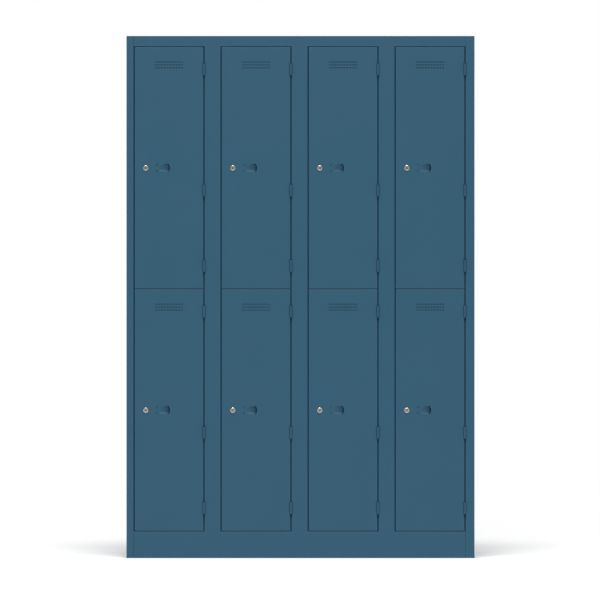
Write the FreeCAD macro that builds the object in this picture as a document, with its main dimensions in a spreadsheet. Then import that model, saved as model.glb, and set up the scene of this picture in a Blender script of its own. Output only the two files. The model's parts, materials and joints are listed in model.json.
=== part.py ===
import FreeCAD, Part
import math
import os
import re
import Sketcher

# School locker: one welded nest of four columns and two tiers, in folded steel sheet.
# X runs to the right, Y to the back, Z up. The origin is on the floor, under the middle.

doc = FreeCAD.newDocument("SchoolLocker")
Vector = FreeCAD.Vector
Rotation = FreeCAD.Rotation

driving_sizes = {
    # the nest
    "overall_width": 1200,
    "overall_height": 1800,
    "overall_depth": 500,
    "column_count": 4,
    "sheet_thickness": 1.0,
    "bend_radius": 2.0,          # outside of a fold
    "rear_flange": 15,
    # the front frame
    "stile_left": 25,            # beside the lock edge of a door
    "stile_right": 31.5,         # beside the hinge edge of a door
    "top_rail": 36.5,
    "plinth_height": 91.5,
    "plinth_foot": 30,
    "frame_return": 22,          # how far the frame turns back round an opening
    "frame_lip": 8,
    "stop_lap": 11,              # how far a stop reaches behind a door's edge
    "tray_flange": 18,           # turned-down edge of the shelves and the base
    # the doors
    "gap_side": 2.5,
    "gap_level": 2.0,
    "door_flange": 18,
    "door_lip": 12,
    "vent_columns": 10,
    "vent_rows": 3,
    "vent_pitch": 10,
    "vent_bore": 4.4,
    "vent_drop": 51.2,           # top row below the door's top edge
    # the finger pull, a scoop pressed into the door
    "pull_start": 78,            # its fold, from the lock edge of the door
    "pull_reach": 44.5,
    "pull_height_start": 21,
    "pull_height_end": 29.6,
    "pull_bulge": 6,
    "pull_depth": 11,
    "pull_slot": 2.5,            # open behind the curved lip
    "pull_relief": 4,
    # the cam lock
    "lock_inset": 39.2,          # its axis, from the lock edge of the door
    "lock_flange": 18.6,
    "lock_barrel": 16,
    "lock_proud": 3,
    "lock_plug": 11,
    "lock_tail": 7,
    "lock_tail_length": 4,
    "lock_hole_play": 0.1,
    "key_slot_width": 1.8,
    "key_slot_height": 7,
    "key_slot_depth": 9,
    "cam_clearance": 1,
    "cam_thickness": 2,
    "cam_width": 14,
    "cam_bite": 7,               # how far it reaches behind the frame
    # the hinges
    "knuckle_diameter": 10,
    "knuckle_height": 40,
    "knuckle_gap": 0.4,
    "pin_diameter": 4,
    "pin_overhang": 1,
    "running_clearance": 0.05,
    "hinge_proud": 2,            # pin axis in front of the door's face
    "hinge_clearance": 0.4,
    "hinge_top_drop": 76.5,      # middle of the top hinge below the door's top edge
    "hinge_middle_rise": 339,    # above the door's bottom edge
    "hinge_low_rise": 79,
    "leaf_thickness": 1.1,
    "leaf_depth": 16.5,
    "relief_height": 12.5,       # slot under each knuckle
    "relief_depth": 1.5,
    # small fittings
    "buffer_diameter": 8,
    "buffer_gap": 0.3,
    "buffer_inset": 30,
    "hook_plate_length": 60,
    "hook_plate_width": 22,
    "hook_plate_thickness": 2,
    "hook_wire": 6,
    "hook_drop": 34,
    "hook_bend": 13,
    "hook_rise": 10,
    "wall_hole": 9,
    "wall_hole_side": 150,       # from each side of the nest
    "wall_hole_top": 200,        # below the top
    "wall_hole_low": 300,        # above the floor
}

sheet = doc.addObject("Spreadsheet::Sheet", "Dims")
for row, (alias, size) in enumerate(driving_sizes.items(), start=1):
    sheet.set(f"A{row}", alias)
    sheet.set(f"B{row}", str(size))
    sheet.setAlias(f"B{row}", alias)
doc.recompute()

# Sizes that follow from the driving ones, as expressions on the sheet.
pitch = "(overall_width / column_count)"
left_side = "(-overall_width / 2)"
right_side = "(overall_width / 2)"
front = "(-overall_depth / 2)"
rear = "(overall_depth / 2)"
back_face = f"({rear} - sheet_thickness)"          # where the back panel starts
under_top = "(overall_height - sheet_thickness)"
frame_back = f"({front} + frame_return)"
rail_edge = "(overall_height - top_rail)"
opening_width = f"({pitch} - stile_left - stile_right)"
door_width = f"({opening_width} - 2 * gap_side)"
door_height = f"(({rail_edge} - plinth_height - 3 * gap_level) / 2)"
middle_gap = f"(plinth_height + 1.5 * gap_level + {door_height})"
shelf_top = f"({middle_gap} + gap_level / 2 + stop_lap)"
stop_bottom = f"({middle_gap} - gap_level / 2 - stop_lap)"
stop_front = f"({frame_back} - sheet_thickness)"
cam_seat = "(frame_return + sheet_thickness + cam_clearance)"
knuckle_radius = "(knuckle_diameter / 2)"
clear_radius = f"({knuckle_radius} + hinge_clearance)"
notch_width = f"(sqrt({clear_radius} ^ 2 - hinge_proud ^ 2) - gap_side / 2)"
notch_depth = f"(sqrt({clear_radius} ^ 2 - (gap_side / 2) ^ 2) - hinge_proud)"
knuckle_length = "((knuckle_height - 4 * knuckle_gap) / 5)"

columns = range(1, driving_sizes["column_count"] + 1)
tiers = ("lower", "upper")
door_places = [(column, tier) for tier in tiers for column in columns]


def bound(text):
    """Write an expression so that each size in it names its cell."""
    return re.sub(r"\b(?!sqrt\b|pi\b)[a-z]\w*", r"Dims.\g<0>", str(text))


def value(text):
    """Give an expression's present value."""
    return float(sheet.evalExpression(bound(text)))


def bind(item, prop, text):
    item.setExpression(prop, bound(text))


def place(item, x="0", y="0", z="0"):
    for axis, text in zip("xyz", (x, y, z)):
        bind(item, f"Placement.Base.{axis}", text)


def new_body(name):
    body = doc.addObject("PartDesign::Body", name)
    body.Label = name
    return body


# Sketches and features ------------------------------------------------------------

def new_sketch(body, plane, height):
    """Add a sketch to one of the body's own origin planes, at a height on its axis."""
    sketch = body.newObject("Sketcher::SketchObject", "Outline")
    support = [item for item in body.Origin.OriginFeatures if item.Role == plane][0]
    sketch.AttachmentSupport = (support, [""])
    sketch.MapMode = "FlatFace"
    # the XZ plane looks along -Y, so its heights are counted backwards
    sign = "-1 * " if plane == "XZ_Plane" else ""
    bind(sketch, "AttachmentOffset.Base.z", f"{sign}({height})")
    return sketch


def draw_outline(sketch, points, bulge=None):
    """Draw a closed outline with every corner tied to the sheet.

    bulge is (side number, radius, turn) of one side that is an arc. Its turn is 1
    where the arc runs anticlockwise along the outline and -1 where it runs clockwise.
    """
    corners = [Vector(value(x), value(y), 0) for x, y in points]
    first = sketch.GeometryCount
    total = len(corners)
    arc_side, arc_radius, turn = bulge or (None, None, 1)
    for side in range(total):
        ends = [corners[side], corners[(side + 1) % total]]
        if side == arc_side:
            sketch.addGeometry(arc_between(*ends[::turn], value(arc_radius)))
        else:
            sketch.addGeometry(Part.LineSegment(*ends))
    # an arc's own start is its second end where it runs clockwise
    starts = [2 if side == arc_side and turn < 0 else 1 for side in range(total)]
    for side in range(total):
        after = (side + 1) % total
        joint = (first + side, 3 - starts[side], first + after, starts[after])
        sketch.addConstraint(Sketcher.Constraint("Coincident", *joint))
    for side, (x, y) in enumerate(points):
        corner = corners[side]
        for kind, text, size in (("DistanceX", x, corner.x), ("DistanceY", y, corner.y)):
            spot = (-1, 1, first + side, starts[side], size)
            number = sketch.addConstraint(Sketcher.Constraint(kind, *spot))
            bind(sketch, f"Constraints[{number}]", text)
    if bulge:
        rounding = Sketcher.Constraint("Radius", first + arc_side, value(arc_radius))
        number = sketch.addConstraint(rounding)
        bind(sketch, f"Constraints[{number}]", arc_radius)


def arc_between(start, end, radius):
    """Give the shorter anticlockwise arc of a radius from start to end."""
    chord = end - start
    half = chord.Length / 2
    rise = math.sqrt(radius ** 2 - half ** 2)
    inward = Vector(-chord.y, chord.x, 0).normalize()
    centre = start + chord * 0.5 + inward * rise
    angles = [math.atan2(point.y - centre.y, point.x - centre.x) for point in (start, end)]
    return Part.ArcOfCircle(Part.Circle(centre, Vector(0, 0, 1), radius), *angles)


def draw_circle(sketch, x, y, diameter):
    centre = Vector(value(x), value(y), 0)
    radius = value(diameter) / 2
    circle = sketch.addGeometry(Part.Circle(centre, Vector(0, 0, 1), radius))
    for kind, text, size in (("DistanceX", x, centre.x), ("DistanceY", y, centre.y)):
        number = sketch.addConstraint(Sketcher.Constraint(kind, -1, 1, circle, 3, size))
        bind(sketch, f"Constraints[{number}]", text)
    number = sketch.addConstraint(Sketcher.Constraint("Diameter", circle, 2 * radius))
    bind(sketch, f"Constraints[{number}]", diameter)


def box_points(low_x, high_x, low_y, high_y):
    return [(low_x, low_y), (high_x, low_y), (high_x, high_y), (low_x, high_y)]


def extrude(body, kind, plane, low, high, outlines=(), circles=(), bulge=None):
    """Pad or pocket outlines between two heights on the axis that the plane faces."""
    start = high if plane == "XZ_Plane" else low
    sketch = new_sketch(body, plane, start)
    for outline in outlines:
        draw_outline(sketch, outline, bulge)
    for circle in circles:
        draw_circle(sketch, *circle)
    feature = body.newObject(f"PartDesign::{kind}", kind)
    feature.Profile = sketch
    feature.Reversed = kind == "Pocket"
    bind(feature, "Length", f"({high}) - ({low})")
    body.Tip = feature
    return feature


def revolve(body, points):
    """Turn an outline of radius and height once round the body's Y axis."""
    sketch = new_sketch(body, "XY_Plane", "0")
    draw_outline(sketch, points)
    feature = body.newObject("PartDesign::Revolution", "Revolution")
    feature.Profile = sketch
    feature.ReferenceAxis = (sketch, ["V_Axis"])
    feature.Angle = 360
    body.Tip = feature
    return feature


def repeat(body, features, axis, count, spacing, second=None):
    """Repeat features in a row along one of the sketch's axes, or in a grid along two."""
    sketch = features[0].Profile[0]
    pattern = body.newObject("PartDesign::LinearPattern", "Row")
    pattern.Originals = features
    pattern.Direction = (sketch, [axis])
    pattern.Mode = "Spacing"
    bind(pattern, "Offset", spacing)
    bind(pattern, "Occurrences", count)
    if second:
        second_axis, second_count, second_spacing = second
        pattern.Direction2 = (sketch, [second_axis])
        pattern.Mode2 = "Spacing"
        bind(pattern, "Offset2", second_spacing)
        bind(pattern, "Occurrences2", second_count)
    body.Tip = pattern
    return pattern


def round_edges(body, radius, chosen):
    """Fillet the edges of the body's last feature that a test on their ends picks."""
    doc.recompute()
    tip = body.Tip
    names = []
    for number, edge in enumerate(tip.Shape.Edges, start=1):
        ends = [vertex.Point for vertex in edge.Vertexes]
        if len(ends) == 2 and chosen(*ends):
            names.append(f"Edge{number}")
    if not names:
        raise RuntimeError(f"{body.Label} has no edge to round")
    fillet = body.newObject("PartDesign::Fillet", "Bend")
    fillet.Base = (tip, names)
    bind(fillet, "Radius", radius)
    body.Tip = fillet
    return fillet


def near(one, other):
    return abs(one - other) < 1e-4


# Folded sheet -----------------------------------------------------------------------

def folded_outline(path, side):
    """Give the outline of a sheet folded along a path of square turns.

    The path is one face of the sheet. Its thickness lies on the left of the path
    where side is 1 and on the right where it is -1.
    """
    spots = [(value(x), value(y)) for x, y in path]
    headings = []
    for (x1, y1), (x2, y2) in zip(spots, spots[1:]):
        length = math.hypot(x2 - x1, y2 - y1)
        headings.append((round((x2 - x1) / length), round((y2 - y1) / length)))
    inner = []
    for number, (x, y) in enumerate(path):
        touching = headings[max(number - 1, 0):number + 1]
        shift_x = sum(-side * heading[1] for heading in touching)
        shift_y = sum(side * heading[0] for heading in touching)
        inner.append((f"{x} + {shift_x} * sheet_thickness", f"{y} + {shift_y} * sheet_thickness"))
    return list(path), inner, headings


def fold(body, plane, path, side, low, high):
    """Pad a folded sheet and round its bends inside and out."""
    outer, inner, headings = folded_outline(path, side)
    extrude(body, "Pad", plane, low, high, [outer + inner[::-1]])
    wide, tight = [], []
    for number in range(1, len(path) - 1):
        (before_x, before_y), (after_x, after_y) = headings[number - 1:number + 1]
        turn = before_x * after_y - before_y * after_x
        round_outside = turn * side > 0
        (wide if round_outside else tight).append(outer[number])
        (tight if round_outside else wide).append(inner[number])
    for corners, radius in ((wide, "bend_radius"), (tight, "bend_radius - sheet_thickness")):
        spots = [(value(x), value(y)) for x, y in corners]
        round_edges(body, radius, along_axis(plane, spots))


def along_axis(plane, spots):
    """Give a test for edges square to a plane that stand on one of some spots."""
    flat = {"XY_Plane": "xy", "YZ_Plane": "yz", "XZ_Plane": "xz"}[plane]

    def chosen(start, end):
        ends = [[getattr(point, axis) for axis in flat] for point in (start, end)]
        same = near(ends[0][0], ends[1][0]) and near(ends[0][1], ends[1][1])
        return same and any(near(ends[0][0], x) and near(ends[0][1], y) for x, y in spots)

    return chosen


# Places of the doors and hinges -------------------------------------------------------

def module_left(column):
    return f"({left_side} + {column - 1} * {pitch})"


def door_left(column):
    return f"({module_left(column)} + stile_left + gap_side)"


def door_bottom(tier):
    return f"(plinth_height + gap_level + {tiers.index(tier)} * ({door_height} + gap_level))"


def hinge_axis(column):
    return f"({module_left(column)} + {pitch} - stile_right - gap_side / 2)"


# Height of the bottom of each knuckle above a door's bottom edge.
hinge_heights = [
    "(hinge_low_rise - knuckle_height / 2)",
    "(hinge_middle_rise - knuckle_height / 2)",
    f"({door_height} - hinge_top_drop - knuckle_height / 2)",
]


def knuckle_notches(edge, inward, bottoms):
    """Give the cut-outs for the knuckles in an upright edge, with the slot below each."""
    outlines = []
    for bottom in bottoms:
        low = f"{bottom} - hinge_clearance"
        high = f"{bottom} + knuckle_height + pin_overhang + hinge_clearance"
        slot = f"{bottom} - relief_height"
        outside = f"{edge} - ({inward}) * 1"
        deep = f"{edge} + ({inward}) * {notch_width}"
        shallow = f"{edge} + ({inward}) * relief_depth"
        corners = [
            (outside, slot), (shallow, slot), (shallow, low),
            (deep, low), (deep, high), (outside, high),
        ]
        outlines.append(corners if inward > 0 else corners[::-1])
    return outlines


def frame_notches():
    """Give the knuckles' heights on the frame, for the doors of both tiers."""
    return [f"({door_bottom(tier)} + {height})" for tier in tiers for height in hinge_heights]


# The welded body ----------------------------------------------------------------------

def make_side_panel(name, edge, inward, stile):
    """Outer side: one sheet that turns the front corner and makes the end stile."""
    body = new_body(name)
    opening = f"{edge} + ({inward}) * {stile}"
    path = [
        (f"{edge} + ({inward}) * rear_flange", back_face),
        (edge, back_face),
        (edge, front),
        (opening, front),
        (opening, frame_back),
        (f"{opening} - ({inward}) * frame_lip", frame_back),
    ]
    fold(body, "XY_Plane", path, inward, "0", under_top)
    return body


def make_mullion(number):
    """Post between two columns: a channel with its edges turned in."""
    body = new_body(f"mullion_{number}")
    path = [
        ("-stile_right + frame_lip", frame_back),
        ("-stile_right", frame_back),
        ("-stile_right", front),
        ("stile_left", front),
        ("stile_left", frame_back),
        ("stile_left - frame_lip", frame_back),
    ]
    fold(body, "XY_Plane", path, 1, "plinth_height", rail_edge)
    cut_frame_notches(body, "-stile_right")
    place(body, x=module_left(number + 1))
    return body


def cut_frame_notches(body, edge):
    outlines = knuckle_notches(edge, 1, frame_notches())
    high = f"{front} + {notch_depth}"
    extrude(body, "Pocket", "XZ_Plane", f"{front} - 1", high, outlines)


def make_partition(number):
    """Upright sheet between two columns, flanged at the front and the back."""
    body = new_body(f"partition_{number}")
    face = "-sheet_thickness / 2"
    path = [
        (f"{face} + rear_flange", back_face),
        (face, back_face),
        (face, frame_back),
        ("stile_left", frame_back),
    ]
    fold(body, "XY_Plane", path, 1, "plinth_height", under_top)
    place(body, x=module_left(number + 1))
    return body


def add_stops(body, low, high):
    """Add the strips behind the doors' edges, one in each column's opening."""
    start = f"{left_side} + stile_left"
    outline = box_points(start, f"{start} + {opening_width}", low, high)
    strip = extrude(body, "Pad", "XZ_Plane", stop_front, frame_back, [outline])
    repeat(body, [strip], "H_Axis", "column_count", pitch)


def make_top_panel():
    """Top sheet with the rail over the doors folded down from it."""
    body = new_body("top_panel")
    top_outline = box_points(left_side, right_side, front, back_face)
    extrude(body, "Pad", "XY_Plane", under_top, "overall_height", [top_outline])
    outside = f"{front} + sheet_thickness"
    rail_outline = [
        (f"{front} + bend_radius", under_top),
        (f"{front} + bend_radius", f"{under_top} + sheet_thickness / 2"),
        (front, f"{under_top} + sheet_thickness / 2"),
        (front, rail_edge),
        (frame_back, rail_edge),
        (frame_back, f"{rail_edge} + sheet_thickness"),
        (outside, f"{rail_edge} + sheet_thickness"),
        (outside, under_top),
    ]
    low = f"{left_side} + stile_left"
    extrude(body, "Pad", "YZ_Plane", low, f"{right_side} - stile_right", [rail_outline])
    rail_corner = [(value(front), value(rail_edge))]
    round_edges(body, "bend_radius", along_axis("YZ_Plane", rail_corner))
    add_stops(body, f"{rail_edge} - gap_level - stop_lap", f"{rail_edge} + sheet_thickness / 2")
    corners = [(value(left_side), value(front)), (value(right_side), value(front))]
    round_edges(body, "bend_radius", along_axis("XY_Plane", corners))
    return body


def make_plinth():
    """Skirting under the doors, with a foot turned back along the floor."""
    body = new_body("plinth_front")
    path = [
        (f"{front} + plinth_foot", "0"),
        (front, "0"),
        (front, "plinth_height"),
        (frame_back, "plinth_height"),
    ]
    low = f"{left_side} + stile_left"
    fold(body, "YZ_Plane", path, -1, low, f"{right_side} - stile_right")
    add_stops(body, "plinth_height - sheet_thickness / 2", "plinth_height + gap_level + stop_lap")
    return body


def make_tray(name, left, right, near_edge, top):
    """Shelf sheet with its four edges turned down."""
    body = new_body(name)
    far_edge = f"{back_face} - sheet_thickness"
    outline = box_points(left, right, near_edge, far_edge)
    extrude(body, "Pad", "XY_Plane", f"{top} - tray_flange", top, [outline])
    hollow = box_points(
        f"{left} + sheet_thickness", f"{right} - sheet_thickness",
        f"{near_edge} + sheet_thickness", f"{far_edge} - sheet_thickness",
    )
    low = f"{top} - tray_flange"
    extrude(body, "Pocket", "XY_Plane", low, f"{top} - sheet_thickness", [hollow])
    corners = [(value(x), value(y)) for x, y in outline]
    round_edges(body, "bend_radius", along_axis("XY_Plane", corners))
    return body


def make_divider_shelf(column):
    """Shelf between the tiers; its front edge is the stop for both doors."""
    left = "sheet_thickness" if column == columns[0] else "sheet_thickness / 2"
    right = "sheet_thickness" if column == columns[-1] else "sheet_thickness / 2"
    near_edge = f"({frame_back} + sheet_thickness)"
    body = make_tray(f"divider_shelf_{column}", left, f"{pitch} - {right}", near_edge, shelf_top)
    opening_right = f"stile_left + {opening_width}"
    lip = box_points("stile_left", opening_right, stop_front, f"{near_edge} + sheet_thickness / 2")
    extrude(body, "Pad", "XY_Plane", f"{shelf_top} - sheet_thickness", shelf_top, [lip])
    stop = box_points("stile_left", opening_right, stop_bottom, shelf_top)
    extrude(body, "Pad", "XZ_Plane", stop_front, frame_back, [stop])
    place(body, x=module_left(column))
    return body


def make_back_panel():
    """Back sheet with four holes for fixing the nest to a wall."""
    body = new_body("back_panel")
    outline = box_points(left_side, right_side, "0", "overall_height")
    extrude(body, "Pad", "XZ_Plane", back_face, rear, [outline])
    holes = []
    for x in (f"{left_side} + wall_hole_side", f"{right_side} - wall_hole_side"):
        for z in ("wall_hole_low", "overall_height - wall_hole_top"):
            holes.append((x, z, "wall_hole"))
    extrude(body, "Pocket", "XZ_Plane", f"{back_face} - 1", f"{rear} + 1", circles=holes)
    return body


# The doors ----------------------------------------------------------------------------

def make_door(name, column, tier):
    """Door pan, drawn from its lower lock-side corner on the front face."""
    body = new_body(name)
    extrude(body, "Pad", "XZ_Plane", "0", "door_flange",
            [box_points("0", door_width, "0", door_height)])

    def front_or_corner(start, end):
        on_front = near(start.y, 0) and near(end.y, 0)
        across = near(start.x, end.x) and near(start.z, end.z)
        return on_front or across

    round_edges(body, "bend_radius", front_or_corner)
    back_opening = box_points("door_lip", f"{door_width} - door_lip",
                              "door_lip", f"{door_height} - door_lip")
    extrude(body, "Pocket", "XZ_Plane", "sheet_thickness", "door_flange + 1", [back_opening])
    cavity = box_points("sheet_thickness", f"{door_width} - sheet_thickness",
                        "sheet_thickness", f"{door_height} - sheet_thickness")
    extrude(body, "Pocket", "XZ_Plane", "sheet_thickness", "door_flange - sheet_thickness", [cavity])
    thickness = value("sheet_thickness")

    def inner_front(start, end):
        return near(start.y, thickness) and near(end.y, thickness)

    round_edges(body, "bend_radius - sheet_thickness", inner_front)
    cut_vents(body)
    cut_lock_hole(body)
    add_finger_pull(body)
    notches = knuckle_notches(door_width, -1, hinge_heights)
    extrude(body, "Pocket", "XZ_Plane", "-1", notch_depth, notches)
    place(body, door_left(column), front, door_bottom(tier))
    return body


def cut_vents(body):
    """Pierce the grid of round vents under the door's top edge."""
    first_x = f"{door_width} / 2 - (vent_columns - 1) / 2 * vent_pitch"
    first_z = f"{door_height} - vent_drop - (vent_rows - 1) * vent_pitch"
    vent = extrude(body, "Pocket", "XZ_Plane", "-1", "2 * sheet_thickness",
                   circles=[(first_x, first_z, "vent_bore")])
    repeat(body, [vent], "H_Axis", "vent_columns", "vent_pitch",
           second=("V_Axis", "vent_rows", "vent_pitch"))


def cut_lock_hole(body):
    hole = ("lock_inset", f"{door_height} / 2", "lock_barrel + 2 * lock_hole_play")
    extrude(body, "Pocket", "XZ_Plane", "-1", "2 * sheet_thickness", circles=[hole])


def add_finger_pull(body):
    """Lance the door and press the tongue back into a ramp, open behind the curved lip."""
    centre = f"({door_height} / 2)"
    half_start = "(pull_height_start / 2)"
    half_end = "(pull_height_end / 2)"
    corner = "(pull_start + pull_reach - pull_bulge)"
    radius = f"(({half_end} ^ 2 + pull_bulge ^ 2) / (2 * pull_bulge))"
    mouth = [
        ("pull_start", f"{centre} - {half_start}"),
        (corner, f"{centre} - {half_end}"),
        (corner, f"{centre} + {half_end}"),
        ("pull_start", f"{centre} + {half_start}"),
    ]
    extrude(body, "Pocket", "XZ_Plane", "-1", "2 * sheet_thickness", [mouth], bulge=(1, radius, 1))
    root = "pull_start - sheet_thickness"
    tongue_end = "(pull_start + pull_reach - pull_slot)"
    ramp = [
        (root, "0"),
        ("pull_start", "0"),
        (tongue_end, "pull_depth"),
        (tongue_end, "pull_depth + sheet_thickness"),
        (root, "sheet_thickness"),
    ]
    low = f"{centre} - {half_end}"
    high = f"{centre} + {half_end}"
    extrude(body, "Pad", "XY_Plane", low, high, [ramp])
    # upright cheeks close the scoop above and below
    cheek = [
        (root, "sheet_thickness / 2"),
        (tongue_end, "sheet_thickness / 2"),
        (tongue_end, "pull_depth + sheet_thickness"),
        (root, "sheet_thickness"),
    ]
    for edge in (f"({low} - sheet_thickness)", f"({high})"):
        extrude(body, "Pad", "XY_Plane", edge, f"{edge} + sheet_thickness", [cheek])
    # the tongue's end keeps the curve that was lanced from the door
    curve_end = f"({corner} - pull_slot)"
    beyond = "pull_start + pull_reach"
    trimming = [(curve_end, low), (beyond, low), (beyond, high), (curve_end, high)]
    extrude(body, "Pocket", "XZ_Plane", "sheet_thickness", "pull_depth + 2 * sheet_thickness",
            [trimming], bulge=(3, radius, -1))
    reliefs = []
    for side in (-1, 1):
        z = f"{centre} + ({side}) * {half_start}"
        reliefs.append(("pull_start", z, "pull_relief"))
    extrude(body, "Pocket", "XZ_Plane", "-1", "1.5 * sheet_thickness", circles=reliefs)


# The locks ----------------------------------------------------------------------------

def place_lock(body, column, tier):
    x = f"{door_left(column)} + lock_inset"
    place(body, x, front, f"{door_bottom(tier)} + {door_height} / 2")


def make_lock_housing(name, column, tier):
    """Flanged barrel through the door, bored for the plug."""
    body = new_body(name)
    bore = "lock_plug / 2 + running_clearance"
    flange = "lock_flange / 2"
    barrel = "lock_barrel / 2"
    revolve(body, [
        (bore, "-lock_proud"),
        (f"{flange} - lock_proud / 3", "-lock_proud"),
        (flange, "-lock_proud * 2 / 3"),
        (flange, "0"),
        (barrel, "0"),
        (barrel, cam_seat),
        (bore, cam_seat),
    ])
    place_lock(body, column, tier)
    return body


def make_lock_plug(name, column, tier):
    """Plug with a key slot in its face and a square tail for the cam."""
    body = new_body(name)
    radius = "lock_plug / 2"
    face = "(-lock_proud + running_clearance * 10)"
    revolve(body, [("0", face), (radius, face), (radius, cam_seat), ("0", cam_seat)])
    half_tail = "lock_tail / 2"
    tail = box_points(f"-{half_tail}", half_tail, f"-{half_tail}", half_tail)
    extrude(body, "Pad", "XZ_Plane", f"{cam_seat} - 1", f"{cam_seat} + lock_tail_length", [tail])
    slot = box_points("-key_slot_width / 2", "key_slot_width / 2",
                      "-key_slot_height / 2", "key_slot_height / 2")
    extrude(body, "Pocket", "XZ_Plane", f"{face} - 1", f"{face} + key_slot_depth", [slot])
    place_lock(body, column, tier)
    return body


def make_lock_cam(name, column, tier):
    """Flat cam on the plug's tail, hanging clear of the frame when unlocked."""
    body = new_body(name)
    half = "(cam_width / 2)"
    reach = f"(lock_inset + gap_side + cam_bite - {half})"
    low = f"{cam_seat} + running_clearance"
    high = f"{low} + cam_thickness"
    bar = box_points(f"-{half}", half, f"-{reach}", "0")
    extrude(body, "Pad", "XZ_Plane", low, high, [bar])
    for z in ("0", f"-{reach}"):
        extrude(body, "Pad", "XZ_Plane", low, high, circles=[("0", z, "cam_width")])
    side = "(lock_tail / 2 + running_clearance)"
    square = box_points(f"-{side}", side, f"-{side}", side)
    extrude(body, "Pocket", "XZ_Plane", f"{low} - 1", f"{high} + 1", [square])
    place_lock(body, column, tier)
    return body


# The hinges ---------------------------------------------------------------------------

def make_leaf_pattern(name, inward, first_knuckle, knuckles):
    """One hinge leaf about its pin's axis, from the bottom of the hinge up."""
    body = new_body(name)
    outer = f"({inward}) * gap_side / 2"
    inner = f"({inward}) * (gap_side / 2 - leaf_thickness)"
    sides = (outer, inner) if inward < 0 else (inner, outer)
    plate = box_points(*sides, clear_radius, "hinge_proud + leaf_depth")
    extrude(body, "Pad", "XY_Plane", "0", "knuckle_height", [plate])
    low = f"{first_knuckle} * ({knuckle_length} + knuckle_gap)"
    high = f"{low} + {knuckle_length}"
    inside = "(pin_diameter / 2 + running_clearance + leaf_thickness / 2)"
    neck = box_points(*sides, inside, f"{clear_radius} + leaf_thickness / 2")
    neck_pad = extrude(body, "Pad", "XY_Plane", low, high, [neck])
    rings = [("0", "0", "knuckle_diameter"), ("0", "0", "pin_diameter + 2 * running_clearance")]
    ring_pad = extrude(body, "Pad", "XY_Plane", low, high, circles=rings)
    repeat(body, [neck_pad, ring_pad], "N_Axis", knuckles, f"2 * ({knuckle_length} + knuckle_gap)")
    return body


def make_pin_pattern():
    """Plain hinge pin, a little longer than its knuckles."""
    pin = doc.addObject("Part::Cylinder", "pin_pattern")
    bind(pin, "Radius", "pin_diameter / 2")
    bind(pin, "Height", "knuckle_height + 2 * pin_overhang")
    return pin


def gather(name, pattern, places):
    """Make one node of equal separate pieces, one at each place."""
    links = []
    for x, y, z in places:
        link = doc.addObject("App::Link", f"{name}_piece")
        link.LinkedObject = pattern
        place(link, x, y, z)
        links.append(link)
    group = doc.addObject("Part::Compound", name)
    group.Label = name
    group.Links = links
    return group


def hinge_places(column, tier, drop="0"):
    places = []
    for height in hinge_heights:
        z = f"{door_bottom(tier)} + {height} - {drop}"
        places.append((hinge_axis(column), f"{front} - hinge_proud", z))
    return places


# Small fittings -----------------------------------------------------------------------

def make_buffer_pattern():
    """Rubber buffer: a short plug that stands on a stop and faces the door."""
    body = new_body("buffer_pattern")
    length = "(frame_return - sheet_thickness - door_flange - buffer_gap)"
    extrude(body, "Pad", "XZ_Plane", f"-{length}", "0", circles=[("0", "0", "buffer_diameter")])
    return body


def buffer_places():
    places = []
    for column, tier in door_places:
        x = f"{door_left(column)} + buffer_inset"
        y = stop_front
        low = f"{door_bottom(tier)} + stop_lap / 2"
        high = f"{door_bottom(tier)} + {door_height} - stop_lap / 2"
        places += [(x, y, low), (x, y, high)]
    return places


def make_hook_pattern():
    """Double coat hook that hangs from a plate; its top face is at height 0."""
    plate = doc.addObject("Part::Box", "hook_plate")
    bind(plate, "Length", "hook_plate_length")
    bind(plate, "Width", "hook_plate_width")
    bind(plate, "Height", "hook_plate_thickness")
    place(plate, "-hook_plate_length / 2", "-hook_plate_width / 2", "-hook_plate_thickness")
    stem = hook_rod("0", "-hook_drop", "hook_drop - hook_plate_thickness / 2")
    pieces = [plate, stem]
    for side in (-1, 1):
        bend = doc.addObject("Part::Torus", "hook_bend_piece")
        bind(bend, "Radius1", "hook_bend")
        bind(bend, "Radius2", "hook_wire / 2")
        bend.Angle3 = 180
        upright = Rotation(Vector(1, 0, 0), 90)
        bend.Placement.Rotation = upright.multiply(Rotation(Vector(0, 0, 1), 180))
        place(bend, f"({side}) * hook_bend", "0", "-hook_drop")
        tip_x = f"({side}) * 2 * hook_bend"
        tip = hook_rod(tip_x, "-hook_drop", "hook_rise")
        ball = doc.addObject("Part::Sphere", "hook_ball")
        bind(ball, "Radius", "hook_wire * 0.7")
        place(ball, tip_x, "0", "-hook_drop + hook_rise")
        pieces += [bend, tip, ball]
    hook = doc.addObject("Part::MultiFuse", "hook_pattern")
    hook.Shapes = pieces
    return hook


def hook_rod(x, z, length):
    rod = doc.addObject("Part::Cylinder", "hook_rod")
    bind(rod, "Radius", "hook_wire / 2")
    bind(rod, "Height", length)
    place(rod, x, "0", z)
    return rod


def hook_places():
    places = []
    for column in columns:
        x = f"{module_left(column)} + stile_left + {opening_width} / 2"
        places += [(x, "0", f"{shelf_top} - sheet_thickness"), (x, "0", under_top)]
    return places


# Putting it together ------------------------------------------------------------------

nodes = [
    make_side_panel("side_panel_left", left_side, 1, "stile_left"),
    make_side_panel("side_panel_right", right_side, -1, "stile_right"),
    make_back_panel(),
    make_top_panel(),
    make_tray("base_panel", f"{left_side} + sheet_thickness", f"{right_side} - sheet_thickness",
              frame_back, "plinth_height"),
    make_plinth(),
]
cut_frame_notches(nodes[1], f"({right_side} - stile_right)")
for number in columns[:-1]:
    nodes.append(make_mullion(number))
    nodes.append(make_partition(number))
for column in columns:
    nodes.append(make_divider_shelf(column))

door_leaf = make_leaf_pattern("door_leaf_pattern", -1, 1, "2")
frame_leaf = make_leaf_pattern("frame_leaf_pattern", 1, 0, "3")
pin = make_pin_pattern()
buffer = make_buffer_pattern()
hook = make_hook_pattern()

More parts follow.
